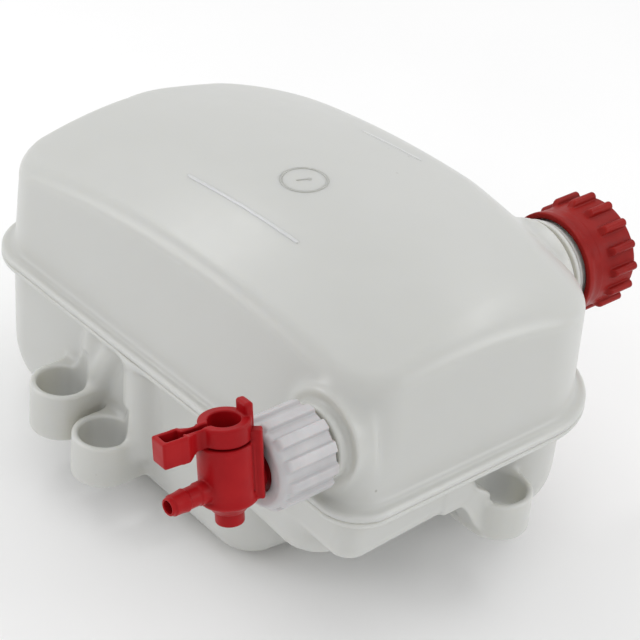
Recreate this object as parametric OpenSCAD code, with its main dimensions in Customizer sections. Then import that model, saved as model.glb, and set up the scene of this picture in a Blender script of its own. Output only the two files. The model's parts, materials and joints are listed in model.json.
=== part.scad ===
// Expansion vessel: a two-shell plastic tank with a flange at the joint line,
// three strap lugs, a screwed filler cap with a relief valve insert, and a
// quarter-turn outlet tap held on a spigot by a union nut.
// Millimetres. X runs along the tank, +Y is the filler side, -Y is the tap side,
// +Z is the upper shell. The origin is the middle of the middle lug's hole; inside
// the modules, z = 0 is the joint plane, and at_tank() moves it into place.

/* [Tank] */
// Length over the joint flange
flange_l = 316; // [280:1:340]
// Width over the joint flange
flange_w = 204; // [180:1:220]
// Thickness of both flange halves together
flange_t = 7; // [5:0.5:12]
// Width of the flange outside the wall
flange_rim = 6.8; // [5:0.2:12]
// Wall thickness of both shells
wall = 3; // [2:0.25:4]
// Height of the upper shell above the joint
top_h = 86; // [75:1:95]
// Depth of the lower shell below the joint
bottom_d = 86; // [60:1:95]
// Radius of the shoulder along the tap side of the top face
shoulder = 9; // [6:1:14]
// Radius of the top face's dome along the tank
dome_along = 590; // [450:10:900]
// Radius of the top face's dome across the tank
dome_across = 242; // [200:2:400]

/* [Lugs] */
// Radius of the hole through each lug
lug_hole_r = 13; // [8:0.5:14]
// Thickness of the lug strap round the hole
lug_strap = 3.5; // [2.5:0.25:5]

/* [Filler] */
// Filler axis along the tank
fill_x = 82; // [60:1:95]
// Filler axis above the joint
fill_z = 35; // [33:1:40]
// Outer radius of the thread crest on the neck
neck_r = 24.5; // [20:0.5:25]
// Bore radius of the neck
neck_bore_r = 20.5; // [16:0.5:21]
// Outer radius of the cap over its finger ribs
cap_r = 30.3; // [29.8:0.1:33]
// Number of finger ribs on the cap
cap_ribs = 15; // [8:1:24]

/* [Tap] */
// Outlet axis along the tank
tap_x = 125; // [100:1:126]
// Outlet axis above the joint
tap_z = 31.5; // [27:0.5:40]
// Outer radius of the union nut over its ribs
nut_r = 22; // [21.5:0.5:24]
// Length of the union nut
nut_l = 31; // [26:1:34]
// Number of ribs on the union nut
nut_ribs = 12; // [8:1:16]
// Radius of the tap barrel
barrel_r = 13; // [12.5:0.5:15]
// Radius of the rotating plug
plug_r = 8.95; // [7:0.05:10]
// Length of the lever from the plug axis
lever_l = 33; // [28:1:44]
// Clock position of the tap on its inlet, from upright
tap_clock = 10; // [-20:1:20]
// Skew of the lever from its port; the tap stands open at rest
lever_turn = 8; // [0:1:15]

/* [Hidden] */

$fn = 64;
facets = 60;
rolls = 4;
eps = 0.01;
half_t = flange_t / 2;
half_l = flange_l / 2;
half_w = flange_w / 2;
wall_l = half_l - flange_rim;
wall_w = half_w - flange_rim;
running = 0.05;

// Lugs: hole centre x and y, underside, height
LUG_FAR = [-54, -110, -62, 27];
LUG_MID = [-17, -110, -69, 24];
LUG_END = [142, 13, -54, 21];

// Corner arcs of the flange outline: centre x, centre y, radius
near_r = 22;
back_r = 54;
far_r = 37;
OUTLINE = [[half_l - near_r, near_r - half_w, near_r],
           [half_l - back_r, 82.5 - back_r, back_r],
           [-147 + far_r, far_r - half_w, far_r],
           [67.5 - half_l, -2.5, 67.5],
           [-147 + 73, 93 - 73, 73],
           [30, half_w - 67.5, 67.5]];

// Shoulder arcs of the upper shell: centre x, centre y, radius, shoulder run
// across, shoulder drop
CROWN = [[wall_l - 30, 30 - wall_w, 25, shoulder, shoulder - 1],
         [104, 28.5, 46.3, 24, 12],
         [-106, 31 - wall_w, 31, shoulder, shoulder - 1],
         [-90.5, -2.5, 60, 23, 29],
         [-74, 20, 66.5, 20, 9],
         [30, 34.5, 57.3, 25, 17]];
// Peak of the domed top face
PEAK = [19, -9];
// Raised lines on the top face: start x and y, turn, length
LINES = [[-30, -54, 2, 80], [-23, 55, 6, 40]];
// Middle of the moulding date ring
DATE = [12, -15];

// Edge arcs of the sump and the three shallower steps of the lower shell
SUMP = [[54, 25.5 - wall_w, 24.5, 21.5, 24.5],
        [54, wall_w - 46, 44, 34, 34],
        [-147 + far_r, 33 - wall_w, 31.5, 22, 36],
        [67.5 - half_l, -2.5, 58.5, 30, 30],
        [-147 + 73, 93 - 73, 62, 34, 34]];
BACK_STEP = [[106, 44, 32, 14, 23],
             [30, half_w - 67.5, 55, 28, 28]];
END_STEP = [[wall_l - 15, 13 - wall_w, 12, 8, 8],
            [130, -20, 18, 12, 12],
            [50, 19 - wall_w, 17, 12, 12],
            [50, 30, 40, 12, 12]];
TAP_STEP = [[102, 24.5 - wall_w, 23, 12, 14],
            [60, 22 - wall_w, 21, 20, 20],
            [106, -45, 20, 18, 18],
            [60, -45, 20, 18, 18]];

// Filler, measured outward from where the neck leaves the +Y wall
fill_y = 84;
neck_len = 41;
thread_pitch = 6;
gasket_t = 2.5;
cap_start = 12;
cap_end = neck_len + gasket_t + 3.5;

// Tap, measured outward from the -Y wall
spigot_r = 16.6;
spigot_bore = 10;
spigot_len = 31;
washer_t = 3;
nut_start = 8;
nut_end = nut_start + nut_l;
tail_t = 3;
port_r = 4.5;
barrel_y = 54;
barrel_lo = -6.5;
barrel_hi = 21;
hub_h = 9.5;
bore_lo = barrel_lo - 3;
clip_z = barrel_lo - 12;
seal_lo = barrel_lo - 0.6;
seal_hi = barrel_hi - 10.5;
seal_h = 2.2;
hose_l = 33;

// ---------- shared helpers ----------

// How far an arc reaches in direction d
function reach(c, d) = c[0] * d[0] + c[1] * d[1] + c[2];

// The arc of a list that reaches furthest in direction d
function furthest(arcs, d) =
    let (most = max([for (c = arcs) reach(c, d)]))
        [for (c = arcs) if (reach(c, d) > most - eps) c][0];

// Even directions round the tank
DIRS = [for (k = [0 : facets - 1]) [cos(360 * k / facets), sin(360 * k / facets)]];

// Closed outline round a list of arcs, pulled in by t
function outline(arcs, t) =
    [for (d = DIRS) let (c = furthest(arcs, d)) [c[0], c[1]] + (c[2] - t) * d];

// Ring of points at roll angle a over the shoulders of a list of arcs
function roll_ring(arcs, h, t, a) =
    [for (d = DIRS)
        let (c = furthest(arcs, d), r = c[2] - t - (c[3] - t) * (1 - cos(a)))
            [c[0] + r * d[0], c[1] + r * d[1], h - c[4] + (c[4] - t) * sin(a)]];

// Height the domed top face has lost at x, y
function sag(x, y) =
    pow(x - PEAK[0], 2) / 2 / dome_along + pow(y - PEAK[1], 2) / 2 / dome_across;

// Ring lowered to the domed top face
function sunk(ring) = [for (p = ring) [p[0], p[1], p[2] - sag(p[0], p[1])]];

// Level ring drawn in towards the peak, to a share s of its size
function drawn_in(ring, s) =
    [for (p = ring)
        [PEAK[0] + s * (p[0] - PEAK[0]), PEAK[1] + s * (p[1] - PEAK[1]), p[2]]];

// Closed solid through rings of points, the first and the last ring flat
module loft(rings) {
    last = (len(rings) - 1) * facets;
    side = [for (low = [0 : facets : last - 1], k = [0 : facets - 1])
        let (n = (k + 1) % facets, up = low + facets)
            [[low + k, up + k, up + n], [low + k, up + n, low + n]]];
    polyhedron(
        points = [for (ring = rings) each ring],
        faces = concat([[for (k = [0 : facets - 1]) k]],
                       [for (pair = side) each pair],
                       [[for (k = [facets - 1 : -1 : 0]) last + k]]),
        convexity = 4);
}

// Bowl over the arcs in a list, h high and pulled in by t, standing on a base
// outline at z = 0 and rolling over each shoulder to a flat top
module bowl(arcs, base, h, t) {
    loft(concat([[for (p = base) [p[0], p[1], 0]]],
                [for (i = [0 : rolls]) roll_ring(arcs, h, t, 90 * i / rolls)]));
}

// Half of the joint flange, from z = 0 up, with a stepped rim
module flange_half() {
    linear_extrude(half_t - 1.2)
        polygon(outline(OUTLINE, 0));
    linear_extrude(half_t)
        polygon(outline(OUTLINE, 1.2));
}

// Puts the middle of the middle lug's hole on the origin
module at_tank() {
    translate([-LUG_MID[0], -LUG_MID[1], -LUG_MID[2] - LUG_MID[3] / 2])
        children();
}

// Points local +Z along the outward filler axis, at the +Y wall
module at_filler() {
    translate([fill_x, fill_y, fill_z])
        rotate([-90, 0, 0])
            children();
}

// Origin on the valve insert's inner end, inside the neck
module at_valve() {
    at_filler()
        translate([0, 0, neck_len - 20])
            children();
}

// Points local +Z along the outward outlet axis, at the -Y wall
module at_outlet() {
    translate([tap_x, -wall_w, tap_z])
        rotate([90, 0, 0])
            children();
}

// Puts the origin on the plug axis at outlet height, local Z up the barrel
module at_barrel() {
    translate([tap_x, -wall_w - barrel_y, tap_z])
        rotate([0, -tap_clock, 0])
            children();
}

// Ring of rectangular section
module ring(r_out, r_in, h) {
    difference() {
        cylinder(r = r_out, h = h);
        translate([0, 0, -1])
            cylinder(r = r_in, h = h + 2);
    }
}

// Wire coil with closed section, r_mid to the wire centre
module coil(r_mid, r_wire, h, turns) {
    seg = 16;
    sides = 6;
    steps = turns * seg;
    pts = [for (i = [0 : steps])
        for (j = [0 : sides - 1])
            let (a = 360 * i / seg, b = 360 * j / sides,
                 r = r_mid + r_wire * cos(b))
                [r * cos(a), r * sin(a),
                 r_wire + (h - 2 * r_wire) * i / steps + r_wire * sin(b)]];
    skin = [for (i = [0 : steps - 1])
        for (j = [0 : sides - 1])
            let (k = (j + 1) % sides)
                [i * sides + j, i * sides + k, (i + 1) * sides + k, (i + 1) * sides + j]];
    first = [for (j = [0 : sides - 1]) sides - 1 - j];
    last = [for (j = [0 : sides - 1]) steps * sides + j];
    polyhedron(points = pts, faces = concat([first, last], skin), convexity = 10);
}

// ---------- shells ----------

module upper_shell() {
    color([0.86, 0.87, 0.84])
        at_tank()
            difference() {
                union() {
                    upper_form(0);
                    flange_half();
                    at_filler()
                        filler_neck();
                    at_outlet()
                        outlet_spigot();
                    raised() {
                        for (m = LINES)
                            translate([m[0], m[1], top_h / 2])
                                rotate(m[2])
                                    cube([m[3], 1.2, top_h]);
                        translate([DATE[0], DATE[1], top_h / 2])
                            ring(12, 11, top_h);
                    }
                }
                translate([0, 0, -eps])
                    upper_form(wall);
                at_filler()
                    translate([0, 0, -16])
                        cylinder(r = neck_bore_r, h = neck_len + 17);
                at_outlet()
                    translate([0, 0, -12])
                        cylinder(r = spigot_bore, h = spigot_len + 13);
            }
}

// Solid form of the upper shell, pulled in by t
module upper_form(t) {
    rim = roll_ring(CROWN, top_h, t, 90);
    loft(concat([[for (p = outline(OUTLINE, flange_rim + t)) [p[0], p[1], 0]]],
                [for (i = [0 : rolls]) sunk(roll_ring(CROWN, top_h, t, 90 * i / rolls))],
                [for (s = [0.8, 0.6, 0.4, 0.2]) sunk(drawn_in(rim, s))],
                [drawn_in(rim, 0.1)]));
}

// Shallow raised marks on the top face, cut from upright shapes
module raised() {
    intersection() {
        upper_form(-0.5);
        union()
            children();
    }
}

// Neck profile with a collar at the wall, a retaining bead and the thread ridges
module filler_neck() {
    root_r = neck_r - 1.5;
    translate([0, 0, -16])
        cylinder(r = root_r, h = neck_len + 16);
    translate([0, 0, -16])
        cylinder(r = neck_r + 4.5, h = 17);
    translate([0, 0, 5])
        cylinder(r = neck_r + 1.5, h = 2.5);
    translate([0, 0, 9.2])
        cylinder(r = neck_r, h = 1.8);
    rotate_extrude()
        for (z = [22 : thread_pitch : 36])
            polygon([[root_r - 1, z - 2], [root_r, z - 2], [neck_r, z - 0.7],
                     [neck_r, z + 0.7], [root_r, z + 2], [root_r - 1, z + 2]]);
}

// Threaded outlet spigot standing in a raised boss
module outlet_spigot() {
    root_r = spigot_r - 1;
    translate([0, 0, -10])
        cylinder(r = root_r, h = spigot_len + 10);
    translate([0, 0, -7])
        cylinder(r = nut_r - 1, h = 9);
    translate([0, 0, -7])
        cylinder(r = nut_r - 4, h = 13);
    rotate_extrude()
        for (z = [14 : 3 : 29])
            polygon([[root_r - 1, z - 1.2], [root_r, z - 1.2], [spigot_r, z - 0.3],
                     [spigot_r, z + 0.3], [root_r, z + 1.2], [root_r - 1, z + 1.2]]);
}

// Solid form of the lower shell, pulled in by t: sump and three raised steps
module lower_form(t) {
    bowl(SUMP, outline(SUMP, t - 1), bottom_d, t);
    bowl(BACK_STEP, outline(BACK_STEP, t - 1), 69, t);
    bowl(END_STEP, outline(END_STEP, t - 1), 31, t);
    bowl(TAP_STEP, outline(TAP_STEP, t - 1), 49.5, t);
}

// Web under the end wall that runs down into the end lug
module end_web() {
    low = LUG_END[2] + 1;
    translate([LUG_END[0] - 10, LUG_END[1], 0])
        rotate([90, 0, 90])
            linear_extrude(16)
                polygon([[-44, -4], [-44, -26], [-32, -29], [-12, low], [-3, low], [-3, -34]]);
}

module lower_shell() {
    color([0.82, 0.83, 0.8])
        at_tank()
            difference() {
                union() {
                    mirror([0, 0, 1]) {
                        lower_form(0);
                        flange_half();
                    }
                    lug(LUG_FAR, 0);
                    lug(LUG_MID, 0);
                    lug(LUG_END, 90);
                    end_web();
                }
                mirror([0, 0, 1])
                    translate([0, 0, -eps])
                        lower_form(wall);
                for (p = [LUG_FAR, LUG_MID, LUG_END])
                    translate([p[0], p[1], p[2] - 5])
                        cylinder(r = lug_hole_r, h = p[3] + 6);
            }
}

// Strap lug with its hole axis upright; turn points its web at the wall
module lug(at, turn) {
    r = lug_hole_r + lug_strap;
    translate([at[0], at[1], at[2]])
        rotate(turn)
            linear_extrude(at[3]) {
                circle(r);
                translate([-r, 0])
                    square([2 * r, 40]);
            }
}

// ---------- filler cap and its valve ----------

module filler_cap() {
    skirt_r = cap_r - 3.5;
    rib_r = 2.3;
    color([0.62, 0.13, 0.12])
        at_tank()
            at_filler()
                difference() {
                    union() {
                        translate([0, 0, cap_start])
                            cylinder(r = skirt_r + 1, h = 5);
                        translate([0, 0, cap_start + 5])
                            cylinder(r = skirt_r, h = cap_end - cap_start - 6.5);
                        translate([0, 0, cap_end - 1.5])
                            cylinder(r = skirt_r - 1.2, h = 1.5);
                        for (i = [0 : cap_ribs - 1])
                            rotate(i * 360 / cap_ribs - 7)
                                translate([cap_r - rib_r, 0, cap_start + 16])
                                    cylinder(r = rib_r, h = cap_end - cap_start - 18);
                    }
                    translate([0, 0, cap_start - 1])
                        cylinder(r = neck_r + running, h = neck_len + gasket_t - cap_start + 1);
                }
}

module cap_gasket() {
    color([0.12, 0.12, 0.13])
        at_tank()
            at_filler()
                translate([0, 0, neck_len])
                    ring(neck_r, neck_bore_r, gasket_t);
}

module valve_housing() {
    color([0.9, 0.9, 0.88])
        at_tank()
            at_valve()
                difference() {
                    union() {
                        cylinder(r = 14, h = 20 + gasket_t);
                        translate([0, 0, 20.5])
                            cylinder(r = neck_bore_r - 0.2, h = gasket_t - 0.5);
                    }
                    translate([0, 0, 2])
                        cylinder(r = 12, h = 30);
                    translate([0, 0, -1])
                        cylinder(r = 7, h = 4);
                    translate([0, 0, 19])
                        cylinder(r = 12.5, h = 1.5);
                }
}

module relief_seal() {
    color([0.12, 0.12, 0.13])
        at_tank()
            at_valve()
                translate([0, 0, 2])
                    ring(9.5, 6.6, 1.2);
}

module relief_plate() {
    color([0.78, 0.78, 0.76])
        at_tank()
            at_valve()
                translate([0, 0, 3.2])
                    difference() {
                        union() {
                            cylinder(r = 10.5, h = 1.5);
                            cylinder(r = 5.5, h = 3);
                        }
                        translate([0, 0, -1])
                            cylinder(r = 2, h = 6);
                    }
}

module relief_spring() {
    color([0.7, 0.7, 0.72])
        at_tank()
            at_valve()
                translate([0, 0, 4.7])
                    coil(8.6, 0.7, 14.3, 5);
}

module spring_retainer() {
    color([0.9, 0.9, 0.88])
        at_tank()
            at_valve()
                translate([0, 0, 19])
                    ring(12.5, 6, 1.5);
}

module vacuum_disc() {
    color([0.8, 0.66, 0.32])
        at_tank()
            at_valve() {
                translate([0, 0, 2])
                    cylinder(r = 5.2, h = 1.2);
                translate([0, 0, 3])
                    cylinder(r = 1.2, h = 11);
                translate([0, 0, 13])
                    cylinder(r = 4, h = 1);
            }
}

module vacuum_spring() {
    color([0.7, 0.7, 0.72])
        at_tank()
            at_valve()
                translate([0, 0, 6.2])
                    coil(2.8, 0.35, 6.8, 5);
}

// ---------- outlet tap ----------

module union_nut() {
    core_r = nut_r - 1.8;
    color([0.84, 0.83, 0.85])
        at_tank()
            at_outlet()
                difference() {
                    union() {
                        translate([0, 0, nut_start])
                            cylinder(r = core_r, h = nut_l - 3);
                        translate([0, 0, nut_end - 3])
                            cylinder(r = core_r - 2, h = 3);
                        for (i = [0 : nut_ribs - 1])
                            rotate((i + 0.5) * 360 / nut_ribs)
                                translate([core_r - 1, -2.6, nut_start])
                                    cube([2.8, 5.2, nut_l - 4]);
                    }
                    translate([0, 0, nut_start - 1])
                        cylinder(r = spigot_r + running, h = spigot_len + washer_t + tail_t
                                 - nut_start + 1);
                    translate([0, 0, nut_start])
                        cylinder(r = 11.5, h = nut_l + 1);
                }
}

module union_washer() {
    color([0.12, 0.12, 0.13])
        at_tank()
            at_outlet()
                translate([0, 0, spigot_len])
                    ring(15.5, spigot_bore, washer_t);
}

// Body: inlet tail, upright barrel, stop rib and hose tail in one moulding
module tap_body() {
    tail_z = spigot_len + washer_t;
    color([0.64, 0.12, 0.14])
        at_tank()
            difference() {
                union() {
                    at_outlet() {
                        translate([0, 0, tail_z])
                            cylinder(r = 16, h = tail_t);
                        translate([0, 0, tail_z])
                            cylinder(r = 8, h = barrel_y - tail_z);
                        translate([0, 0, nut_end + 1.5])
                            cylinder(r1 = 10, r2 = 8, h = 4);
                        translate([0, 0, barrel_y])
                            hose_tail();
                    }
                    at_barrel() {
                        translate([0, 0, barrel_lo])
                            cylinder(r = barrel_r, h = barrel_hi - barrel_lo);
                        translate([0, 0, barrel_lo - 7])
                            cylinder(r1 = 7.5, r2 = barrel_r, h = 7);
                        translate([0, 0, barrel_lo - 14])
                            cylinder(r = 6.5, h = 8);
                        stop_rib();
                        rotate(205)
                            translate([barrel_r - 0.7, -2, barrel_hi - 8])
                                cube([2.6, 4, 12]);
                    }
                }
                at_barrel() {
                    translate([0, 0, bore_lo])
                        cylinder(r = plug_r + running, h = barrel_hi - bore_lo + 1);
                    translate([0, 0, barrel_lo - 15])
                        cylinder(r = 3.05, h = 16);
                    translate([0, 0, barrel_lo - 15])
                        cylinder(r = 5.5, h = 4);
                }
                at_outlet() {
                    translate([0, 0, spigot_len])
                        cylinder(r = port_r, h = barrel_y - spigot_len);
                    translate([0, 0, barrel_y])
                        cylinder(r = 3.2, h = 60);
                }
            }
}

// Upright rib outside the barrel that the lever's tail meets when open
module stop_rib() {
    rotate(47)
        translate([barrel_r - 0.7, -3, -8])
            cube([4, 6, barrel_hi + 13]);
}

// Barbed hose tail along local +Z
module hose_tail() {
    cylinder(r = 4.6, h = hose_l - 2);
    translate([0, 0, barrel_r - 2])
        cylinder(r = 5.6, h = 5);
    translate([0, 0, hose_l - 10])
        cylinder(r1 = 5.1, r2 = 4.6, h = 4);
    translate([0, 0, hose_l - 5])
        cylinder(r1 = 5.3, r2 = 4.1, h = 5);
}

// Plug with its open hub, hollow lever and short tail in one moulding
module tap_plug() {
    hub_z = barrel_hi + 0.4;
    hub_r = barrel_r - 1.2;
    color([0.67, 0.15, 0.16])
        at_tank()
            at_barrel()
                rotate(-lever_turn)
                    difference() {
                        union() {
                            translate([0, 0, bore_lo + 0.1])
                                cylinder(r = plug_r, h = barrel_hi - bore_lo + 1);
                            translate([0, 0, clip_z - 1.2])
                                cylinder(r = 3, h = bore_lo - clip_z + 2);
                            translate([0, 0, hub_z])
                                cylinder(r = hub_r, h = hub_h);
                            lever(hub_z);
                        }
                        translate([0, 0, hub_z - 6])
                            cylinder(r = 7.4, h = hub_h + 7);
                        rotate([90, 0, lever_turn])
                            translate([0, 0, -20])
                                cylinder(r = port_r, h = 40);
                        for (z = [seal_lo, seal_hi])
                            translate([0, 0, z])
                                rotate_extrude()
                                    translate([plug_r - 1.6, -seal_h / 2])
                                        square([3, seal_h]);
                        translate([-3.5, -lever_l + 2.5, hub_z - 2])
                            cube([7, lever_l - 21, hub_h + 3]);
                        translate([0, 0, clip_z])
                            rotate_extrude()
                                translate([2.5, 0])
                                    square([1, 0.8]);
                    }
}

// Lever blade towards local -Y with a deep end, tail towards +Y
module lever(z) {
    translate([-3, -20, z + 2])
        cube([6, 12, hub_h - 2]);
    translate([-5.5, -lever_l, z - 3])
        cube([11, 17, hub_h + 3]);
    translate([-4.5, 7.8, z])
        cube([9, 5, hub_h + 6]);
}

module plug_seal_lower() {
    color([0.12, 0.12, 0.13])
        at_tank()
            at_barrel()
                translate([0, 0, seal_lo - seal_h / 2])
                    ring(plug_r + running, plug_r - 1.6, seal_h);
}

module plug_seal_upper() {
    color([0.12, 0.12, 0.13])
        at_tank()
            at_barrel()
                translate([0, 0, seal_hi - seal_h / 2])
                    ring(plug_r + running, plug_r - 1.6, seal_h);
}

// Snap ring in the groove of the plug stem
module plug_clip() {
    color([0.7, 0.7, 0.72])
        at_tank()
            at_barrel()
                translate([0, 0, clip_z])
                    ring(5, 2.5, 0.8);
}

upper_shell();
lower_shell();
filler_cap();
cap_gasket();
valve_housing();
relief_plate();
relief_seal();
relief_spring();
spring_retainer();
vacuum_disc();
vacuum_spring();
union_nut();
union_washer();
tap_body();
tap_plug();
plug_seal_upper();
plug_seal_lower();
plug_clip();
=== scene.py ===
import bmesh
import bpy
import json
import math
import numpy as np
from mathutils import Matrix, Vector


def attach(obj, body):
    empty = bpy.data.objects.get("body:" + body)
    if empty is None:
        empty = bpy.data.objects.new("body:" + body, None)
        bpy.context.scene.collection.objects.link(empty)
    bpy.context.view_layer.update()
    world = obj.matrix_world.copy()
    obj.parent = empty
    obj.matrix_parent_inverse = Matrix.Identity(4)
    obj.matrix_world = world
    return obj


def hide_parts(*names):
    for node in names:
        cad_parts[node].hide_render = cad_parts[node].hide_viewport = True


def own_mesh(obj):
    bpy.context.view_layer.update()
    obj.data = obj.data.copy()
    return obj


# Looks of the expansion vessel. Lengths in this file are millimetres unless a name ends in _m;
# every mesh is scaled to metres as it is made. Axes and zero are those of the CAD part, but the
# tank's own fields count from TANK_AT, the middle of its flange on the joint plane.
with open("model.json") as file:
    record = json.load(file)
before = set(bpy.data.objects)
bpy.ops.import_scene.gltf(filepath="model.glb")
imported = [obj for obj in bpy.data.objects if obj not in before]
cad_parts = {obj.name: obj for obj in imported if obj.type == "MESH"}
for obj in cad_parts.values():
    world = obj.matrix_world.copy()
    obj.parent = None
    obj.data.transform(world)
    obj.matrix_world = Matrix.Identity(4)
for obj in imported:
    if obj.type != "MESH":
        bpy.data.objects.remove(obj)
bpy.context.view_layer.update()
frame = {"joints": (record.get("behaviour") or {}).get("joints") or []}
MM = 0.001
joints = {j["name"]: j for j in frame["joints"]}


def point_mm(joint):
    return Vector(joints[joint]["pos_m"]) / MM


def axes(origin, z, x):
    """Placement with local Z along z, local X as near x as it can be."""
    z = Vector(z).normalized()
    x = (Vector(x) - Vector(x).dot(z) * z).normalized()
    y = z.cross(x)
    m = Matrix((x, y, z)).transposed().to_4x4()
    m.translation = Vector(origin)
    return m


FILLER = axes(point_mm("cap_turn"), joints["cap_turn"]["axis"], (1, 0, 0))
OUTLET = axes(point_mm("nut_turn"), joints["nut_turn"]["axis"], (1, 0, 0))
BARREL = axes(point_mm("tap_turn"), joints["tap_turn"]["axis"], (1, 0, 0))
# The CAD file sets the middle of the middle lug's hole at zero; this is the tank's middle from there.
TANK_AT = Vector((17, 110, 57))
WORLD = Matrix.Translation(TANK_AT)
fill = point_mm("cap_turn") - TANK_AT
out = point_mm("nut_turn") - TANK_AT

# ---------------------------------------------------------------- fields
# A field gives the distance in mm from a point to a surface, negative inside.


def join(a, b, k):
    """Union of two fields with a fillet of about k."""
    h = np.clip(0.5 + 0.5 * (b - a) / k, 0, 1)
    return b * (1 - h) + a * h - k * h * (1 - h)


def cut(a, b, k):
    """a with b taken away, its edge rounded by about k."""
    return -join(-a, b, k)


def both(a, b, k):
    return -join(-a, -b, k)


def rounded(a, b, e):
    """Corner of two fields with an exact radius e."""
    p, q = a + e, b + e
    return np.minimum(np.maximum(p, q), 0) + np.hypot(np.maximum(p, 0), np.maximum(q, 0)) - e


def rod(x, y, z, r, z0, z1, e=0.4):
    return rounded(np.hypot(x, y) - r, np.abs(z - (z0 + z1) / 2) - (z1 - z0) / 2, e)


def cone(x, y, z, r0, z0, r1, z1, e=0.3):
    """Frustum from radius r0 at z0 to r1 at z1."""
    slope = (r1 - r0) / (z1 - z0)
    side = (np.hypot(x, y) - r0 - slope * (z - z0)) / math.hypot(1, slope)
    return rounded(side, np.abs(z - (z0 + z1) / 2) - (z1 - z0) / 2, e)


def block(x, y, z, lo, hi, e=0.5):
    q = [np.abs(p - (a + b) / 2) - (b - a) / 2 + e for p, a, b in zip((x, y, z), lo, hi)]
    outside = np.sqrt(sum(np.maximum(d, 0) ** 2 for d in q))
    return outside + np.minimum(np.maximum(np.maximum(q[0], q[1]), q[2]), 0) - e


def turned(x, y, angle):
    """x and y seen from a frame turned by angle degrees."""
    c, s = math.cos(math.radians(angle)), math.sin(math.radians(angle))
    return c * x + s * y, c * y - s * x


def soft(t):
    t = np.clip(t, 0, 1)
    return t * t * (3 - 2 * t)


class Outline:
    """Closed convex outline of arcs (centre x, centre y, radius) and their tangent lines.
    An arc may add a shoulder run and drop, mixed evenly along the lines between arcs."""

    def __init__(self, arcs, grow=0):
        extra = [tuple(a[3:5]) or (0, 0) for a in arcs]
        arcs = [(a[0], a[1], a[2] + grow) for a in arcs]
        turn = np.radians(np.arange(0, 360, 0.25))
        reach = [a[0] * np.cos(turn) + a[1] * np.sin(turn) + a[2] for a in arcs]
        far = np.argmax(reach, axis=0)
        self.lines, self.arcs = [], []
        cuts = []
        for k in range(len(turn)):
            i, j = far[k - 1], far[k]
            if i == j:
                continue
            dx, dy = arcs[i][0] - arcs[j][0], arcs[i][1] - arcs[j][1]
            at, off = math.atan2(dy, dx), math.acos((arcs[j][2] - arcs[i][2]) / math.hypot(dx, dy))
            gap = [abs((at + s * off - turn[k] + math.pi) % (2 * math.pi) - math.pi) for s in (1, -1)]
            phi = at + (off if gap[0] < gap[1] else -off)
            n = (math.cos(phi), math.sin(phi))
            start, end = [n[0] * arcs[q][1] - n[1] * arcs[q][0] for q in (i, j)]
            self.lines.append((n, arcs[j][0] * n[0] + arcs[j][1] * n[1] + arcs[j][2],
                               start, end, extra[i], extra[j]))
            cuts.append((n, j))
        for (n, j), (m, _) in zip(cuts, cuts[1:] + cuts[:1]):
            self.arcs.append((arcs[j], n, m, extra[j]))

    def full(self, x, y):
        """Distance, shoulder run and shoulder drop."""
        d = run = drop = None
        for n, h, start, end, a, b in self.lines:
            v = x * n[0] + y * n[1] - h
            t = np.clip((n[0] * y - n[1] * x - start) / (end - start), 0, 1)
            near = True if d is None else v > d
            d = np.where(near, v, d)
            run = np.where(near, a[0] + (b[0] - a[0]) * t, run)
            drop = np.where(near, a[1] + (b[1] - a[1]) * t, drop)
        for (cx, cy, r), n, m, a in self.arcs:
            vx, vy = x - cx, y - cy
            v = np.hypot(vx, vy) - r
            near = (n[0] * vy - n[1] * vx >= 0) & (vx * m[1] - vy * m[0] >= 0) & (v >= d - 1e-6)
            d, run, drop = np.where(near, v, d), np.where(near, a[0], run), np.where(near, a[1], drop)
        return d.astype(np.float64), run.astype(np.float64), drop.astype(np.float64)

    def __call__(self, x, y):
        return self.full(x, y)[0]


def bowl(u0, u1, z, h, run, drop):
    """Flat-topped form h high with elliptical shoulders; its side leans from u0 at z 0 to u1."""
    lean = np.clip(z / (h - drop), 0, 1)
    u = u0 + (u1 - u0) * lean
    p, q = np.maximum(u + run, 0), np.maximum(z - h + drop, 0)
    rho = np.sqrt((p / run) ** 2 + (q / drop) ** 2)
    grade = np.sqrt((p / run ** 2) ** 2 + (q / drop ** 2) ** 2)
    corner = (rho - 1) * rho / np.maximum(grade, 1e-6)
    return np.where((p > 0) & (q > 0), corner, np.maximum(u, z - h))


# ---------------------------------------------------------------- meshes


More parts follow.
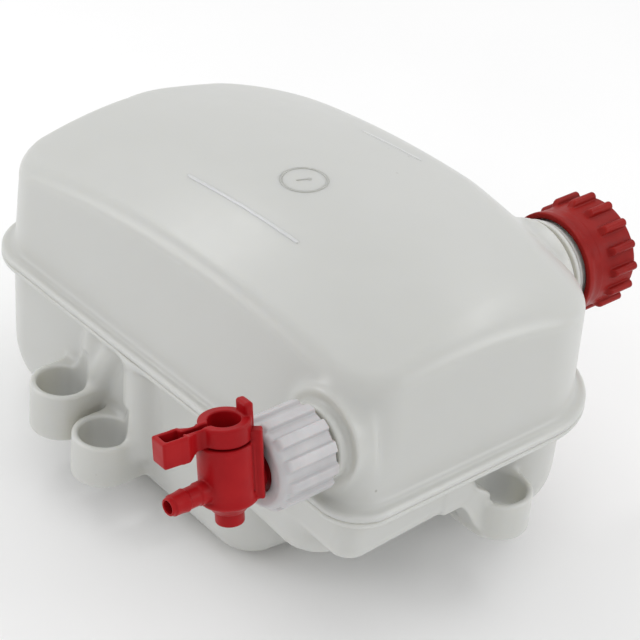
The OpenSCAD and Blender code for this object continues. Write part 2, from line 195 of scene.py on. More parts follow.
def skin(name, field, lo, hi, step, place=WORLD, pulls=2):
    """Smooth closed mesh of a field's zero surface inside the box lo..hi."""
    lo = np.array(lo, float)
    n = np.ceil((np.array(hi) - lo) / step).astype(int) + 1
    line = [(lo[a] + step * np.arange(n[a])).astype(np.float32) for a in range(3)]
    grid = np.meshgrid(*line, indexing="ij", sparse=True)
    f = np.ascontiguousarray(np.broadcast_to(field(*grid), n)).astype(np.float32)
    full = f < 0
    count = np.zeros(n - 1, np.int8)
    for c in np.ndindex(2, 2, 2):
        count += full[c[0]:n[0] - 1 + c[0], c[1]:n[1] - 1 + c[1], c[2]:n[2] - 1 + c[2]]
    live = (count > 0) & (count < 8)
    cells = np.argwhere(live)
    index = np.full(live.shape, -1, np.int64)
    index[live] = np.arange(len(cells))
    total, hits = np.zeros((len(cells), 3)), np.zeros(len(cells))
    for a in range(3):
        for c in np.ndindex(2, 2):
            start = np.insert(np.array(c), a, 0)
            end = np.insert(np.array(c), a, 1)
            f0, f1 = f[tuple((cells + start).T)], f[tuple((cells + end).T)]
            cross = (f0 < 0) != (f1 < 0)
            t = np.where(cross, f0 / np.where(cross, f0 - f1, 1), 0)
            total += cross[:, None] * (start + t[:, None] * (end - start))
            hits += cross
    v = (cells + total / hits[:, None]) * step + lo
    quads = []
    for a in range(3):
        b, c = (a + 1) % 3, (a + 2) % 3
        g0, g1 = [slice(None)] * 3, [slice(None)] * 3
        g0[a], g1[a] = slice(0, -1), slice(1, None)
        change = full[tuple(g0)] != full[tuple(g1)]
        at = np.argwhere(change)
        at = at[(at[:, b] > 0) & (at[:, b] < n[b] - 1) & (at[:, c] > 0) & (at[:, c] < n[c] - 1)]
        out_side = full[tuple(at.T)]
        ring = []
        for i, j in ((1, 1), (0, 1), (0, 0), (1, 0)):
            k = at.copy()
            k[:, b] -= i
            k[:, c] -= j
            ring.append(index[tuple(k.T)])
        q = np.stack(ring, 1)
        quads.append(np.where(out_side[:, None], q, q[:, ::-1]))
    quads = np.concatenate(quads)
    for _ in range(pulls):
        h = 0.05 * step
        p = [v[:, 0], v[:, 1], v[:, 2]]
        value = field(*p)
        grad = []
        for a in range(3):
            up, down = list(p), list(p)
            up[a], down[a] = p[a] + h, p[a] - h
            grad.append((field(*up) - field(*down)) / (2 * h))
        grad = np.stack(grad, 1)
        size = np.maximum((grad ** 2).sum(1), 0.25)
        move = -(value / size)[:, None] * grad
        length = np.linalg.norm(move, axis=1, keepdims=True)
        v = v + move * np.minimum(1, 0.5 * step / np.maximum(length, 1e-9))
    return mesh(name, v, quads, place)


def mesh(name, v, faces, place=WORLD, smooth=True):
    """Object from points in mm and faces of one size."""
    faces = np.asarray(faces)
    m = np.array(place)
    v = (np.asarray(v, float) @ m[:3, :3].T + m[:3, 3]) * MM
    data = bpy.data.meshes.new(name)
    sides = faces.shape[1]
    data.vertices.add(len(v))
    data.vertices.foreach_set("co", v.astype(np.float32).ravel())
    data.loops.add(faces.size)
    data.loops.foreach_set("vertex_index", faces.astype(np.int32).ravel())
    data.polygons.add(len(faces))
    data.polygons.foreach_set("loop_start", np.arange(0, faces.size, sides, dtype=np.int32))
    data.polygons.foreach_set("use_smooth", np.full(len(faces), smooth))
    data.update()
    data.validate()
    o = bpy.data.objects.new(name, data)
    bpy.context.scene.collection.objects.link(o)
    return o


def arc_points(profile, e=0.3, n=4):
    """Closed (r, z) profile with each corner rounded by e."""
    pts = []
    m = len(profile)
    for i in range(m):
        a, b, c = (np.array(profile[(i + k) % m], float) for k in (-1, 0, 1))
        la, lc = np.linalg.norm(a - b), np.linalg.norm(c - b)
        r = min(e, 0.45 * la, 0.45 * lc)
        p, q = b + (a - b) / la * r, b + (c - b) / lc * r
        for t in np.linspace(0, 1, n + 1):
            pts.append((1 - t) ** 2 * p + 2 * t * (1 - t) * b + t * t * q)
    return np.array(pts)


def lathe(name, profile, place, e=0.3, around=96, start=0, sweep=360):
    """Ring or disc turned from a closed (r, z) profile about local Z."""
    pts = arc_points(profile, e)
    whole = sweep >= 360
    steps = around if whole else around + 1
    turn = np.radians(start + sweep * np.arange(steps) / around)
    v = np.stack([np.outer(np.cos(turn), pts[:, 0]), np.outer(np.sin(turn), pts[:, 0]),
                  np.outer(np.ones(steps), pts[:, 1])], 2).reshape(-1, 3)
    k = len(pts)
    quads = [[i % steps * k + j, (i + 1) % steps * k + j, (i + 1) % steps * k + (j + 1) % k,
              i % steps * k + (j + 1) % k] for i in range(steps if whole else steps - 1) for j in range(k)]
    o = mesh(name, v, quads, place)
    if not whole:
        close_ends(o, k, steps)
    return o


def close_ends(o, k, steps):
    b = bmesh.new()
    b.from_mesh(o.data)
    b.verts.ensure_lookup_table()
    b.faces.new([b.verts[j] for j in range(k)][::-1])
    b.faces.new([b.verts[(steps - 1) * k + j] for j in range(k)])
    bmesh.ops.recalc_face_normals(b, faces=b.faces)
    b.to_mesh(o.data)
    b.free()


def coil(name, r, wire, z0, z1, turns, place):
    """Compression spring with closed, flattened end turns."""
    steps, sides = int(turns * 48), 12
    s = np.linspace(0, 1, steps + 1)
    rise = np.interp(s * turns, [0, 0.8, turns - 0.8, turns], [0, 0.08, 0.92, 1])
    z = z0 + wire + (z1 - z0 - 2 * wire) * rise
    turn = 2 * math.pi * turns * s
    ring = np.linspace(0, 2 * math.pi, sides, endpoint=False)
    size = wire * np.where((s == 0) | (s == 1), 0.05, 1)
    rr = r + size[:, None] * np.cos(ring)[None]
    v = np.stack([rr * np.cos(turn)[:, None], rr * np.sin(turn)[:, None],
                  z[:, None] + size[:, None] * np.sin(ring)[None]], 2).reshape(-1, 3)
    quads = [[i * sides + j, i * sides + (j + 1) % sides, (i + 1) * sides + (j + 1) % sides,
              (i + 1) * sides + j] for i in range(steps) for j in range(sides)]
    return mesh(name, v, quads, place)


# ---------------------------------------------------------------- materials


class Nodes:
    """Short calls for building a node material."""

    def __init__(self, name):
        self.mat = bpy.data.materials.new(name)
        self.mat.use_nodes = True
        self.tree = self.mat.node_tree
        self.shader = self.tree.nodes["Principled BSDF"]
        self.at = self.make("ShaderNodeTexCoord").outputs["Object"]

    def make(self, kind, **values):
        n = self.tree.nodes.new(kind)
        for k, v in values.items():
            setattr(n, k, v)
        return n

    def put(self, socket, value):
        if isinstance(value, bpy.types.NodeSocket):
            self.tree.links.new(value, socket)
        else:
            socket.default_value = value

    def noise(self, scale, detail=4, rough=0.5, stretch=None):
        n = self.make("ShaderNodeTexNoise")
        at = self.at
        if stretch:
            m = self.make("ShaderNodeMapping")
            self.put(m.inputs["Vector"], at)
            m.inputs["Scale"].default_value = stretch
            at = m.outputs["Vector"]
        self.put(n.inputs["Vector"], at)
        n.inputs["Scale"].default_value = scale
        n.inputs["Detail"].default_value = detail
        n.inputs["Roughness"].default_value = rough
        return n.outputs["Fac"]

    def ramp(self, fac, stops):
        n = self.make("ShaderNodeValToRGB")
        self.put(n.inputs["Fac"], fac)
        while len(n.color_ramp.elements) < len(stops):
            n.color_ramp.elements.new(0.5)
        for e, (p, c) in zip(n.color_ramp.elements, stops):
            e.position = p
            e.color = (*c, 1) if isinstance(c, tuple) else (c, c, c, 1)
        return n.outputs["Color"]

    def mix(self, fac, a, b, how="MIX"):
        n = self.make("ShaderNodeMix", data_type="RGBA", blend_type=how)
        self.put(n.inputs[0], fac)
        for s, c in ((n.inputs[6], a), (n.inputs[7], b)):
            self.put(s, (*c, 1) if isinstance(c, tuple) else c)
        return n.outputs[2]

    def maths(self, how, a, b=0.0):
        n = self.make("ShaderNodeMath", operation=how)
        self.put(n.inputs[0], a)
        self.put(n.inputs[1], b)
        return n.outputs[0]

    def shade(self, distance_m):
        """0 in creases to 1 on open faces."""
        n = self.make("ShaderNodeAmbientOcclusion", samples=6)
        n.inputs["Distance"].default_value = distance_m
        return n.outputs["AO"]

    def bump(self, layers):
        last = None
        for height, strength, distance_m in layers:
            n = self.make("ShaderNodeBump")
            n.inputs["Strength"].default_value = strength
            n.inputs["Distance"].default_value = distance_m
            self.put(n.inputs["Height"], height)
            if last is not None:
                self.put(n.inputs["Normal"], last)
            last = n.outputs["Normal"]
        self.put(self.shader.inputs["Normal"], last)

    def set(self, **values):
        for k, v in values.items():
            self.put(self.shader.inputs[k.replace("_", " ")], v)


def tank_plastic(name="tank_plastic", crease_shade_strength=0.28, tint=None):
    """Natural, slightly cloudy polyethylene: specks, hairline scuffs and a faint yellow painted shade in its
    creases, standing also for the yellower look of thick plastic.
    """
    m = Nodes(name)
    cloud = m.noise(9, 3, 0.55)
    fine = m.noise(70, 5, 0.6)
    grain = m.noise(1400, 2, 0.5)
    base = m.ramp(cloud, [(0.3, (0.552, 0.557, 0.535)), (0.7, (0.572, 0.577, 0.558))])
    base = m.mix(m.ramp(fine, [(0.2, 0.0), (0.9, 0.09)]), base, (0.60, 0.605, 0.59))
    # painted shade: ambient occlusion darkens the creases toward a dull yellow, scaled by the strength given
    painted_crease_shade = m.ramp(m.shade(0.012), [(0.45, 1.0), (0.95, 0.0)])
    base = m.mix(m.maths("MULTIPLY", painted_crease_shade, crease_shade_strength), base, (0.56, 0.535, 0.44))
    if tint:
        base = m.mix(0.75, base, tint)
    dust = m.make("ShaderNodeTexVoronoi")
    m.put(dust.inputs["Vector"], m.at)
    dust.inputs["Scale"].default_value = 85
    speck = m.ramp(dust.outputs["Distance"], [(0.03, 1.0), (0.075, 0.0)])
    few = m.ramp(m.noise(14, 2, 0.5), [(0.56, 0.0), (0.66, 1.0)])
    speck = m.maths("MULTIPLY", m.maths("MULTIPLY", speck, few), 0.55)
    base = m.mix(speck, base, (0.25, 0.24, 0.21))
    scuff = m.ramp(m.noise(240, 6, 0.7, (1, 12, 3)), [(0.60, 0.0), (0.85, 1.0)])
    base = m.mix(m.maths("MULTIPLY", scuff, 0.06), base, (0.80, 0.80, 0.79))
    rough = m.ramp(fine, [(0.3, 0.30), (0.7, 0.38)])
    rough = m.mix(m.maths("MULTIPLY", scuff, 0.25), rough, (0.48, 0.48, 0.48))
    m.set(Base_Color=base, Roughness=rough, IOR=1.5, Subsurface_Weight=0.5,
          Subsurface_Radius=(1.0, 0.95, 0.80), Subsurface_Scale=0.009,
          Coat_Weight=0.10, Coat_Roughness=0.25)
    m.bump([(cloud, 0.35, 0.0012), (fine, 0.12, 0.0003), (grain, 0.12, 0.00004)])
    return m.mat


def moulded(name, colour, deep, light, rough=0.36, coat=0.15, sss=0.06, shine=0.5):
    """Injection-moulded plastic with a fine spark grain, dull handled edges and painted shade darkening its
    creases.
    """
    m = Nodes(name)
    cloud = m.noise(35, 4, 0.6)
    grain = m.noise(2600, 2, 0.5)
    flow = m.noise(120, 3, 0.5, (1, 1, 2))
    base = m.ramp(cloud, [(0.3, deep), (0.5, colour), (0.75, light)])
    # painted shade: ambient occlusion darkens the creases toward a deep shade of the colour
    painted_crease_shade = m.ramp(m.shade(0.005), [(0.35, 1.0), (0.9, 0.0)])
    base = m.mix(m.maths("MULTIPLY", painted_crease_shade, 0.6), base, tuple(0.35 * c for c in deep))
    edge = m.make("ShaderNodeNewGeometry").outputs["Pointiness"]
    worn = m.maths("MULTIPLY", m.ramp(edge, [(0.53, 0.0), (0.62, 1.0)]), 0.3)
    base = m.mix(worn, base, light)
    m.set(Base_Color=base, Roughness=m.ramp(flow, [(0.3, rough - 0.06), (0.7, rough + 0.10)]),
          IOR=1.5, Specular_IOR_Level=shine, Coat_Weight=coat, Coat_Roughness=0.3, Subsurface_Weight=sss,
          Subsurface_Radius=(1.0, 0.4, 0.3), Subsurface_Scale=0.002)
    m.bump([(flow, 0.05, 0.00012), (grain, 0.18, 0.00003)])
    return m.mat


def rubber():
    m = Nodes("seal_rubber")
    grain = m.noise(900, 4, 0.6)
    bloom = m.noise(60, 4, 0.6)
    m.set(Base_Color=m.ramp(bloom, [(0.3, (0.018, 0.018, 0.019)), (0.75, (0.045, 0.044, 0.043))]),
          Roughness=m.ramp(grain, [(0.3, 0.62), (0.7, 0.82)]))
    m.bump([(grain, 0.3, 0.00004)])
    return m.mat


def metal(name, colour, deep, rough):
    m = Nodes(name)
    drawn = m.noise(300, 5, 0.65, (1, 14, 1))
    stain = m.noise(40, 4, 0.6)
    m.set(Base_Color=m.ramp(stain, [(0.3, deep), (0.7, colour)]), Metallic=1.0,
          Roughness=m.ramp(drawn, [(0.3, rough - 0.07), (0.7, rough + 0.12)]))
    m.bump([(drawn, 0.2, 0.00003)])
    return m.mat


TANK = tank_plastic()
# painted highlight: the raised lines are the tank's own plastic, tinted much lighter to stand for the light
# they catch; no crease shade
MARK_PAINTED_HIGHLIGHT = tank_plastic("tank_marks_painted_highlight", 0.0, (0.78, 0.78, 0.76))
# date ring and pointer: a darker brownish tint, with stronger painted shade in the creases around them
DATE_MARK = tank_plastic("date_marks", 0.5, (0.42, 0.42, 0.37))
RED_TAP = moulded("tap_plastic", (0.345, 0.004, 0.007), (0.28, 0.003, 0.005), (0.40, 0.008, 0.010), 0.36,
                  coat=0.0, sss=0.02, shine=0.16)
RED_CAP = moulded("cap_plastic", (0.270, 0.008, 0.006), (0.22, 0.005, 0.004), (0.32, 0.014, 0.010), 0.38,
                  coat=0.0, sss=0.02, shine=0.14)
NUT = moulded("nut_plastic", (0.50, 0.49, 0.50), (0.44, 0.43, 0.435), (0.58, 0.57, 0.58), 0.40, sss=0.25)
WHITE = moulded("white_plastic", (0.72, 0.72, 0.69), (0.66, 0.66, 0.63), (0.78, 0.78, 0.76), 0.4)
RUBBER = rubber()
STEEL = metal("spring_steel", (0.60, 0.60, 0.62), (0.45, 0.45, 0.47), 0.28)
BRASS = metal("valve_brass", (0.72, 0.53, 0.24), (0.58, 0.40, 0.16), 0.30)


def dress(o, material, body, slot, *nodes):
    o.data.materials.clear()
    o.data.materials.append(material)
    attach(o, body)
    if nodes:
        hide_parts(*nodes)
    return o


# ---------------------------------------------------------------- tank

rim = 6.8
top_h, bottom_d = 86.0, 86.0
# top dome: its peak in plan, and its radii of curvature along and across the tank
peak_x, peak_y, dome_along, dome_across = 19, -9, 590, 242
# corner arcs of each outline: centre x, centre y, radius, and but for the flange the run and
# drop of the edge's round
FLANGE = [(136, -80, 22), (104, 28.5, 54), (-110, -65, 37), (-90.5, -2.5, 67.5), (-74, 20, 73),
          (30, 34.5, 67.5)]
CROWN = [(121.2, -65.2, 25, 9, 8), (104, 28.5, 46.3, 24, 12), (-106, -64.2, 31, 9, 8),
         (-90.5, -2.5, 60, 23, 29), (-74, 20, 66.5, 20, 9), (30, 34.5, 57.3, 25, 17)]
SUMP = [(54, -69.7, 24.5, 21.5, 24.5), (54, 49.2, 44, 34, 34), (-110, -62.2, 31.5, 22, 36),
        (-90.5, -2.5, 58.5, 30, 30), (-74, 20, 62, 34, 34)]
BACK_STEP = [(106, 44, 32, 14, 23), (30, 34.5, 55, 28, 28)]
END_STEP = [(136.2, -82.2, 12, 8, 8), (130, -20, 18, 12, 12), (50, -76.2, 17, 12, 12),
            (50, 30, 40, 12, 12)]
TAP_STEP = [(102, -70.7, 23, 12, 14), (60, -73.2, 21, 20, 20), (106, -45, 20, 18, 18),
            (60, -45, 20, 18, 18)]
# lugs: hole centre x and y, underside, top, top of the hole's cut, turn of the web
LUGS = [(-54, -110, -62, -35, -20, 0), (-17, -110, -69, -45, -28, 0), (142, 13, -54, -33, -12, 90)]
lug_hole_r, lug_r = 13.0, 16.4
# folds from the flange to the lugs on the tap side: upper end, lower end, radius
FOLDS = [((-30, -92, -5), (-45, -95, -36), 6.5), ((-48, -91, -7), (-53, -94, -40), 6.5),
         ((-9, -92, -7), (-4, -95, -48), 10.5)]

flange_edge = Outline(FLANGE)
wall_base = Outline(FLANGE, -rim)
crown_edge = Outline(CROWN)
sump_edge = Outline(SUMP)
steps = [(Outline(BACK_STEP), 69.0, 8.0), (Outline(END_STEP), 31.0, 3.2), (Outline(TAP_STEP), 49.5, 3.2)]


def flange_field(x, y, z):
    """Half flange: rounded rim and a fine parting groove at the joint."""
    d = flange_edge(x, y)
    plate = rounded(d, z - 3.5, 1.9)
    groove = rounded(-(d + 0.45), z - 0.30, 0.2)
    return cut(plate, groove, 0.4)


def dome(x, y):
    """Height of the top face, a shallow dome."""
    return top_h - (x - peak_x) ** 2 / 2 / dome_along - (y - peak_y) ** 2 / 2 / dome_across


def upper_field(x, y, z):
    edge, run, drop = crown_edge.full(x, y)
    f = bowl(wall_base(x, y), edge, z, dome(x, y), run, drop)
    f = join(f, flange_field(x, y, z), 6.0)
    # outlet boss: a low soft swelling behind the nut
    bx, bz = x - out.x, z - out.z
    by = -(y - out.y)
    r = np.hypot(bx, bz)
    f = join(f, rounded(r - 23.5, np.abs(by + 7) - 5.5, 1.0), 8.0)
    f = join(f, rounded(r - 18.5, np.abs(by + 2) - 7.0, 0.9), 2.0)
    # filler collar
    fx, fz, fy = x - fill.x, z - fill.z, y - fill.y
    r = np.hypot(fx, fz)
    f = join(f, rounded(r - 28.9, np.abs(fy + 6) - 6.9, 1.4), 4.0)
    f = cut(f, np.maximum(r - 20.5, -(fy + 24)), 0.6)
    f = join(f, np.maximum(rounded(r - 23.0, np.abs(fy + 6) - 18, 0.8), 20.4 - r), 0.8)
    return np.maximum(f, -z)


def fold(x, y, z, a, b, r):
    """Round fold of radius r running from point a to point b."""
    run = [q - p for p, q in zip(a, b)]
    t = sum(c * (w - p) for c, w, p in zip(run, (x, y, z), a)) / sum(c * c for c in run)
    t = np.clip(t, 0, 1)
    return np.sqrt(sum((w - p - c * t) ** 2 for c, w, p in zip(run, (x, y, z), a))) - r


def lower_field(x, y, z):
    w = -z
    d, run, drop = sump_edge.full(x, y)
    f = bowl(d - 1, d, w, bottom_d, run, drop)
    for edge, h, blend in steps:
        d, run, drop = edge.full(x, y)
        f = join(f, bowl(d - 1, d, w, h, run, drop), blend)
    f = join(f, flange_field(x, y, w), 3.0)
    # strap lugs: a ribbon loop with its web flaring into the wall
    for cx, cy, z0, z1, _, turn in LUGS:
        px, py = turned(x - cx, y - cy, turn)
        loop = np.hypot(px, np.minimum(py, 0)) - lug_r
        web = rounded(np.maximum(loop, py - 40), np.abs(z - (z0 + z1) / 2) - (z1 - z0) / 2, 1.2)
        f = join(f, web, 5.0)
    # folds running down from the flange to the two lugs on the tap side
    for a, b, r in FOLDS:
        f = join(f, fold(x, y, z, a, b, r), 6.0)
    # web under the end wall, falling away into the end lug
    under = -28.0 - 24.0 * soft((y + 21) / 22)
    end_web = rounded(np.maximum(np.abs(x - 140) - 7.5, np.abs(y + 11) - 20), under - z, 1.5)
    over = z + 5 + 0.73 * (y + 31)
    f = join(f, both(end_web * 0.8, over * 0.8, 1.5), 3.0)
    for cx, cy, _, _, hole_top, _ in LUGS:
        hole = np.maximum(np.hypot(x - cx, y - cy) - lug_hole_r, z - hole_top)
        f = cut(f, hole, 1.3)
    return np.maximum(f, z)


fine = 1.1
upper = skin("UpperShell", upper_field, (-162, -106, -1.5), (162, 130, 88), fine, pulls=2)
dress(upper, TANK, "tank", "tank_plastic", "upper_shell")
lower = skin("LowerShell", lower_field, (-162, -130, -89), (162, 106, 1.5), fine, pulls=1)
dress(lower, TANK, "tank", "tank_plastic", "lower_shell")

# moulded lines and date ring, laid on the dome


def mark(name, material, shape, x, y, turn, lo, hi):
    """Shallow raised mark: shape gives its plan distance, in a frame turned about x, y."""
    def field(px, py, z):
        c, s = math.cos(math.radians(turn)), math.sin(math.radians(turn))
        lift = z - dome(x + c * px - s * py, y + s * px + c * py)
        return rounded(shape(px, py), np.abs(lift + 0.4) - 0.75, 0.4)
    low = dome(x, y)
    o = skin(name, field, (*lo, low - 5), (*hi, low + 2), 0.45,
             WORLD @ Matrix.Translation((x, y, 0)) @ Matrix.Rotation(math.radians(turn), 4, "Z"))
    return dress(o, material, "tank", "tank_plastic")


def bar(length):
    return lambda x, y: np.hypot(np.maximum(np.abs(x) - length / 2, 0), y) - 1.0


mark("MouldedLine", MARK_PAINTED_HIGHLIGHT, bar(79), 10, -52.3, 2, (-42, -2), (42, 2))
mark("EdgeLine", MARK_PAINTED_HIGHLIGHT, bar(39), -3, 57.7, 6, (-22, -2), (22, 2))
mark("DateRing", DATE_MARK, lambda x, y: np.abs(np.hypot(x, y) - 11.5) - 0.8, 12, -15, 0,
     (-13.5, -13.5), (13.5, 13.5))
mark("DatePointer", DATE_MARK,
     lambda x, y: join(np.hypot(x - np.clip(x, -3.6, 2.4), y) - 0.5, np.hypot(x - 2.6, y) - 1.2, 0.5),
     12, -15, 65, (-6, -3), (6, 3))


def neck_field(x, y, z):
    """Neck above the collar: plain bead, groove and a helical thread of 6 mm pitch."""
    r = np.hypot(x, y)
    f = rounded(r - 23.0, np.abs(z - 21.4) - 19.6, 0.6)
    f = join(f, rounded(r - 26.0, np.abs(z - 6.3) - 1.2, 0.6), 0.8)
    f = join(f, rounded(r - 24.4, np.abs(z - 10.1) - 0.9, 0.5), 0.6)
    turn = np.arctan2(y, x) / (2 * math.pi)
    near = (z - 6 * turn + 3) % 6 - 3
    ridge = (r - 24.4 + 0.55 * np.abs(near)) * 0.85
    f = join(f, np.maximum(ridge, np.maximum(18.5 - z, z - 38)), 0.5)
    return cut(f, r - 20.5, 0.5)


neck = skin("FillerNeck", neck_field, (-29, -29, 1), (29, 29, 42), 0.6, FILLER)
dress(neck, TANK, "tank", "tank_plastic")


def spigot_field(x, y, z):
    """Outlet spigot with a helical thread of 3 mm pitch."""
    r = np.hypot(x, y)
    f = rounded(r - 15.6, np.abs(z - 16) - 15, 0.5)
    turn = np.arctan2(y, x) / (2 * math.pi)
    near = (z - 3 * turn + 1.5) % 3 - 1.5
    f = join(f, np.maximum((r - 16.5 + 0.6 * np.abs(near)) * 0.85, np.maximum(11 - z, z - 29.5)), 0.3)
    return cut(f, r - 10, 0.4)


spigot = skin("OutletSpigot", spigot_field, (-18, -18, 0.5), (18, 18, 32), 0.6, OUTLET)
dress(spigot, TANK, "tank", "tank_plastic")

# ---------------------------------------------------------------- filler cap and valve


cap_ribs, cap_rib_turn = 15, 7


def cap_field(x, y, z):
    r = np.hypot(x, y)
    f = rounded(r - 26.8, np.abs(z - 30) - 17, 1.6)
    flare = 26.8 + 1.0 * soft((19 - z) / 5)
    f = join(f, np.maximum(r - flare, np.abs(z - 17) - 5), 0.6)
    pitch = 2 * math.pi / cap_ribs
    turn = (np.arctan2(y, x) + math.radians(cap_rib_turn) + pitch / 2) % pitch - pitch / 2
    grip = np.hypot(r * np.sin(turn), r * np.cos(turn) - 27.95) - 2.3
    grip = rounded(grip, np.maximum(27.5 + 0.7 * (r - 26.8) - z, z - 45.2), 0.9)
    f = join(f, grip, 0.9)
    f = cut(f, rounded(r - 19, 46.1 - z, 0.5), 0.5)
    f = join(f, np.maximum(np.abs(r - 10) - 1.0, np.abs(z - 45.8) - 0.8), 0.5)
    return cut(f, rounded(r - 24.6, z - 43.5, 0.3), 0.4)


cap = skin("FillerCap", cap_field, (-31, -31, 11), (31, 31, 49), 0.5, FILLER)
dress(cap, RED_CAP, "cap", "cap_plastic", "filler_cap")

INSERT = FILLER @ Matrix.Translation((0, 0, 21))
gasket = lathe("CapGasket", [(20.5, 41), (24.5, 41), (24.5, 43.5), (20.5, 43.5)], FILLER, 0.5)
dress(gasket, RUBBER, "cap_insert", "seal_rubber", "cap_gasket")
housing = lathe("ValveHousing", [(7, 0), (14, 0), (14, 20.5), (20.3, 20.5), (20.3, 22.5), (12, 22.5),
                                 (12, 20.5), (12.5, 20.5), (12.5, 19), (12, 19), (12, 2), (7, 2)],
                INSERT, 0.35)
dress(housing, WHITE, "cap_insert", "white_plastic", "valve_housing")
retainer = lathe("SpringRetainer", [(6, 19), (12.5, 19), (12.5, 20.5), (6, 20.5)], INSERT, 0.3)
dress(retainer, WHITE, "cap_insert", "white_plastic", "spring_retainer")
seal = lathe("ReliefSeal", [(6.6, 2), (9.5, 2), (9.5, 3.2), (6.6, 3.2)], INSERT, 0.4)
dress(seal, RUBBER, "relief_valve", "seal_rubber", "relief_seal")
plate = lathe("ReliefPlate", [(2, 3.2), (10.5, 3.2), (10.5, 4.7), (5.5, 4.7), (5.5, 6.2), (2, 6.2)],
              INSERT, 0.3)
dress(plate, WHITE, "relief_valve", "white_plastic", "relief_plate")
disc = lathe("VacuumDisc", [(0.01, 2), (5.2, 2), (5.2, 3.2), (1.2, 3.2), (1.2, 13), (4, 13), (4, 14),
                            (0.01, 14)], INSERT, 0.2, 48)
dress(disc, BRASS, "vacuum_valve", "valve_brass", "vacuum_disc")
relief = coil("ReliefSpring", 8.6, 0.7, 4.7, 19.0, 5, INSERT)
dress(relief, STEEL, "cap_insert", "spring_steel", "relief_spring")
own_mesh(relief)
vacuum = coil("VacuumSpring", 2.8, 0.35, 6.2, 13.0, 5, INSERT)
dress(vacuum, STEEL, "relief_valve", "spring_steel", "vacuum_spring")
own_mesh(vacuum)

# ---------------------------------------------------------------- union nut


nut_ribs = 12


def nut_field(x, y, z):
    r = np.hypot(x, y)
    wave = np.cos(nut_ribs * np.arctan2(y, x))
    rib = 1.9 * soft((wave + 0.35) / 0.7) * soft((37.2 - z) / 2.2)
    body = (r - 20.0 - rib) * 0.85
    nose = (r - 18.2 + (z - 38.6)) * 0.7
    f = both(body, nose, 1.0)
    f = both(f, np.abs(z - 23.5) - 15.5, 0.8)
    f = cut(f, r - 11.5, 0.6)
    return cut(f, np.maximum(r - 16.7, z - 37.0), 0.3)


nut = skin("UnionNut", nut_field, (-24, -24, 7), (24, 24, 40), 0.4, OUTLET)
dress(nut, NUT, "nut", "nut_plastic", "union_nut")
washer = lathe("UnionWasher", [(10, 31), (15.5, 31), (15.5, 34), (10, 34)], OUTLET, 0.5)
dress(washer, RUBBER, "tap", "seal_rubber", "union_washer")

# ---------------------------------------------------------------- tap


def tap_field(x, y, z):
    f = rod(x, y, z, 13, -8.0, 21, 0.9)
    f = join(f, cone(x, y, z, 7.6, -13.8, 12.6, -7.0, 0.6), 3.2)
    f = join(f, rod(x, y, z, 6.6, -20.3, -11, 0.8), 0.9)
    # stop rib beside the lever's tail, standing clear of the barrel by a narrow slot
    px, py = turned(x, y, 47)
    f = join(f, block(px, py, z, (10, -3, -8), (16.3, 3, 26), 1.2), 0.7)
    gx, gy = turned(x, y, 27)
    f = cut(f, block(gx, gy, z, (12.2, -0.9, -3), (15, 0.9, 22), 0.4), 0.5)
    px, py = turned(x, y, 205)
    f = join(f, block(px, py, z, (11, -2, 11), (14.9, 2, 24.8), 0.7), 0.5)
    px, py = turned(x, y, 195)
    f = join(f, block(px, py, z, (10, -1.4, -5), (14.6, 1.4, 13), 0.7), 0.5)
    # inlet tail towards the tank
    f = join(f, rod(x, z, y, 8, 0, 20, 0.4), 1.2)
    f = join(f, cone(x, z, y, 8.2, 9.5, 10.4, 14.0, 0.6), 0.6)
    f = join(f, rod(x, z, y, 16, 17.05, 20, 0.5), 0.4)
    # hose tail
    f = join(f, rod(x, z, y, 4.9, -31, -6, 0.3), 1.4)
    f = join(f, cone(x, z, y, 4.1, -33, 5.5, -23.6, 0.5), 0.2)
    f = join(f, rod(x, z, y, 5.4, -17.4, -12, 0.5), 0.5)
    f = cut(f, rod(x, z, y, 3.1, -36, -4, 0.1), 0.5)
    f = cut(f, rod(x, z, y, 4.5, 8, 24, 0.1), 0.4)
    f = cut(f, rod(x, y, z, 9.05, -9.5, 24, 0.1), 0.5)
    f = cut(f, rod(x, y, z, 5.5, -24, -17.5, 0.1), 0.3)
    return cut(f, rod(x, y, z, 3.1, -24, -6, 0.1), 0.3)


tap = skin("TapBody", tap_field, (-18, -35, -22), (18, 22, 28), 0.4, BARREL)
dress(tap, RED_TAP, "tap", "tap_plastic", "tap_body")


def plug_field(x, y, z):
    """Plug, open hub, waisted lever with a hollow end, and the short tail opposite."""
    x, y = turned(x, y, -8)
    f = rod(x, y, z, 8.9, -9.4, 21.5, 0.3)
    hub = rod(x, y, z, 11.8, 21.5, 30.8, 0.9)
    waist = 2.9 + 2.2 * soft((-y - 15) / 6) + 2.0 * soft((13 + y) / 5)
    arm = rounded(np.abs(x) - waist, np.abs(y + 16) - 8, 0.6)
    arm = rounded(arm, np.maximum(z - 30.4, 20.6 - 2.4 * soft((-y - 15) / 5) - z), 0.7)
    end = block(x, y, z, (-5.5, -33, 18.3), (5.5, -20, 30.8), 1.1)
    f = join(f, hub, 0.3)
    f = join(f, join(arm, end, 1.0), 0.9)
    f = join(f, block(x, y, z, (-4.4, 8.2, 21.6), (4.4, 12.7, 36.8), 1.4), 1.0)
    f = join(f, rod(x, y, z, 2.95, -19.7, 0, 0.3), 0.3)
    f = cut(f, rod(x, y, z, 7.4, 15.5, 40, 0.1), 0.8)
    f = cut(f, block(x, y, z, (-3.5, -30.6, 20.4), (3.5, -21.5, 40), 0.8), 0.7)
    f = cut(f, block(x, y, z, (-1.5, -24, 27.5), (1.5, -6, 40), 0.6), 0.8)
    rx, ry = turned(x, y, 8)
    f = cut(f, rod(rx, z, ry, 4.5, -20, 20, 0.1), 0.3)
    for c in (-7.1, 10.5):
        f = cut(f, np.maximum(7.35 - np.hypot(x, y), np.abs(z - c) - 1.1), 0.2)
    return cut(f, np.maximum(2.5 - np.hypot(x, y), np.abs(z + 18.1) - 0.4), 0.1)


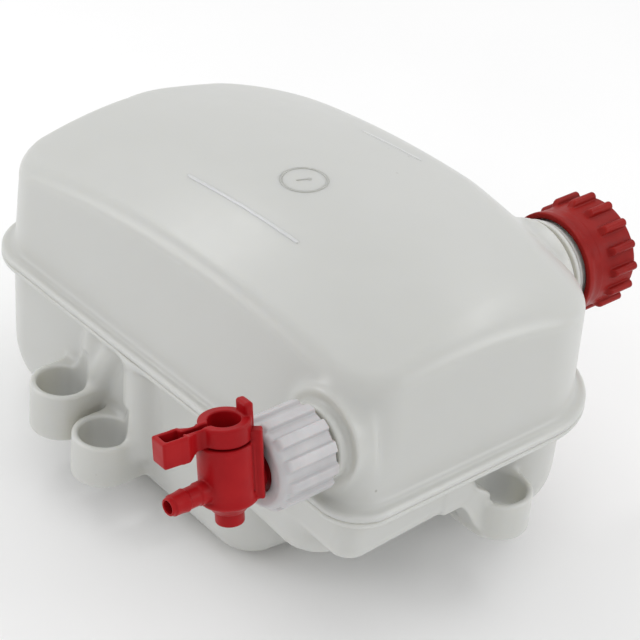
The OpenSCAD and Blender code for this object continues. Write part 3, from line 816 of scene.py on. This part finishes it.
plug = skin("TapPlug", plug_field, (-14, -36, -20), (14, 15, 39), 0.4, BARREL)
dress(plug, RED_TAP, "plug", "tap_plastic", "tap_plug")
for name, node, z in (("PlugSealLower", "plug_seal_lower", -8.2), ("PlugSealUpper", "plug_seal_upper", 9.4)):
    o = lathe(name, [(7.35, z), (9.0, z), (9.0, z + 2.2), (7.35, z + 2.2)], BARREL, 0.7)
    dress(o, RUBBER, "plug", "seal_rubber", node)
clip = lathe("PlugClip", [(2.5, -18.5), (5, -18.5), (5, -17.7), (2.5, -17.7)], BARREL, 0.15, 60, 20, 320)
dress(clip, STEEL, "plug", "spring_steel", "plug_clip")

# ---------------------------------------------------------------- floor, light and camera


def stage_floor():
    """Pale sweep under and behind the object."""
    size, z = 4000, -88.0
    n = 40
    s = np.linspace(-1, 1, n)
    x, y = np.meshgrid(s * size, s * size, indexing="ij")
    v = np.stack([x, y, np.full_like(x, z)], 2).reshape(-1, 3)
    quads = [[i * n + j, (i + 1) * n + j, (i + 1) * n + j + 1, i * n + j + 1]
             for i in range(n - 1) for j in range(n - 1)]
    o = mesh("Floor", v, quads)
    m = Nodes("floor_paper")
    m.set(Base_Color=m.ramp(m.noise(3, 3, 0.5), [(0.3, (0.90, 0.90, 0.90)), (0.7, (0.93, 0.93, 0.93))]),
          Roughness=0.9, Specular_IOR_Level=0.1)
    o.data.materials.append(m.mat)


stage_floor()

world = bpy.data.worlds.new("Studio")
bpy.context.scene.world = world
world.use_nodes = True
world.node_tree.nodes["Background"].inputs["Color"].default_value = (1.0, 1.0, 1.0, 1)
world.node_tree.nodes["Background"].inputs["Strength"].default_value = 0.76


def softbox(name, direction, distance_m, size_m, watts, colour=(1, 1, 1)):
    data = bpy.data.lights.new(name, "AREA")
    data.shape = "RECTANGLE"
    data.size, data.size_y = size_m
    data.energy = watts
    data.color = colour
    o = bpy.data.objects.new(name, data)
    d = Vector(direction).normalized()
    o.location = TANK_AT * MM + d * distance_m
    o.rotation_mode = "QUATERNION"
    o.rotation_quaternion = d.to_track_quat("Z", "Y")
    bpy.context.scene.collection.objects.link(o)


softbox("CrestLeft", (-0.62, -0.02, 0.78), 1.3, (0.9, 0.09), 2.6)
softbox("CrestRight", (0.10, 0.60, 0.79), 1.3, (0.9, 0.09), 2.2)
softbox("LowLeft", (-0.62, -0.72, 0.36), 1.3, (0.5, 0.5), 2.4)
softbox("LowRight", (0.74, 0.55, 0.40), 1.3, (0.5, 0.5), 2.5)
softbox("Front", (0.55, -0.75, 0.55), 1.8, (1.2, 1.2), 1.5)

cam = bpy.data.objects.new("Camera", bpy.data.cameras.new("Camera"))
cam.data.sensor_width = 36
cam.data.lens = 36 * 2200.56 / 640
right, back = Vector((0.6492, 0.7564, 0.0804)), Vector((0.6045, -0.5771, 0.5492))
back.normalize()
right = (right - right.dot(back) * back).normalized()
up = back.cross(right)
place = Matrix((right, up, back)).transposed().to_4x4()
place.translation = TANK_AT * MM + Vector((0.6989, -0.6510, 0.6201))
cam.matrix_world = place
cam.data.clip_start, cam.data.clip_end = 0.05, 50
bpy.context.scene.collection.objects.link(cam)
bpy.context.scene.camera = cam
bpy.context.scene.view_settings.view_transform = "Standard"
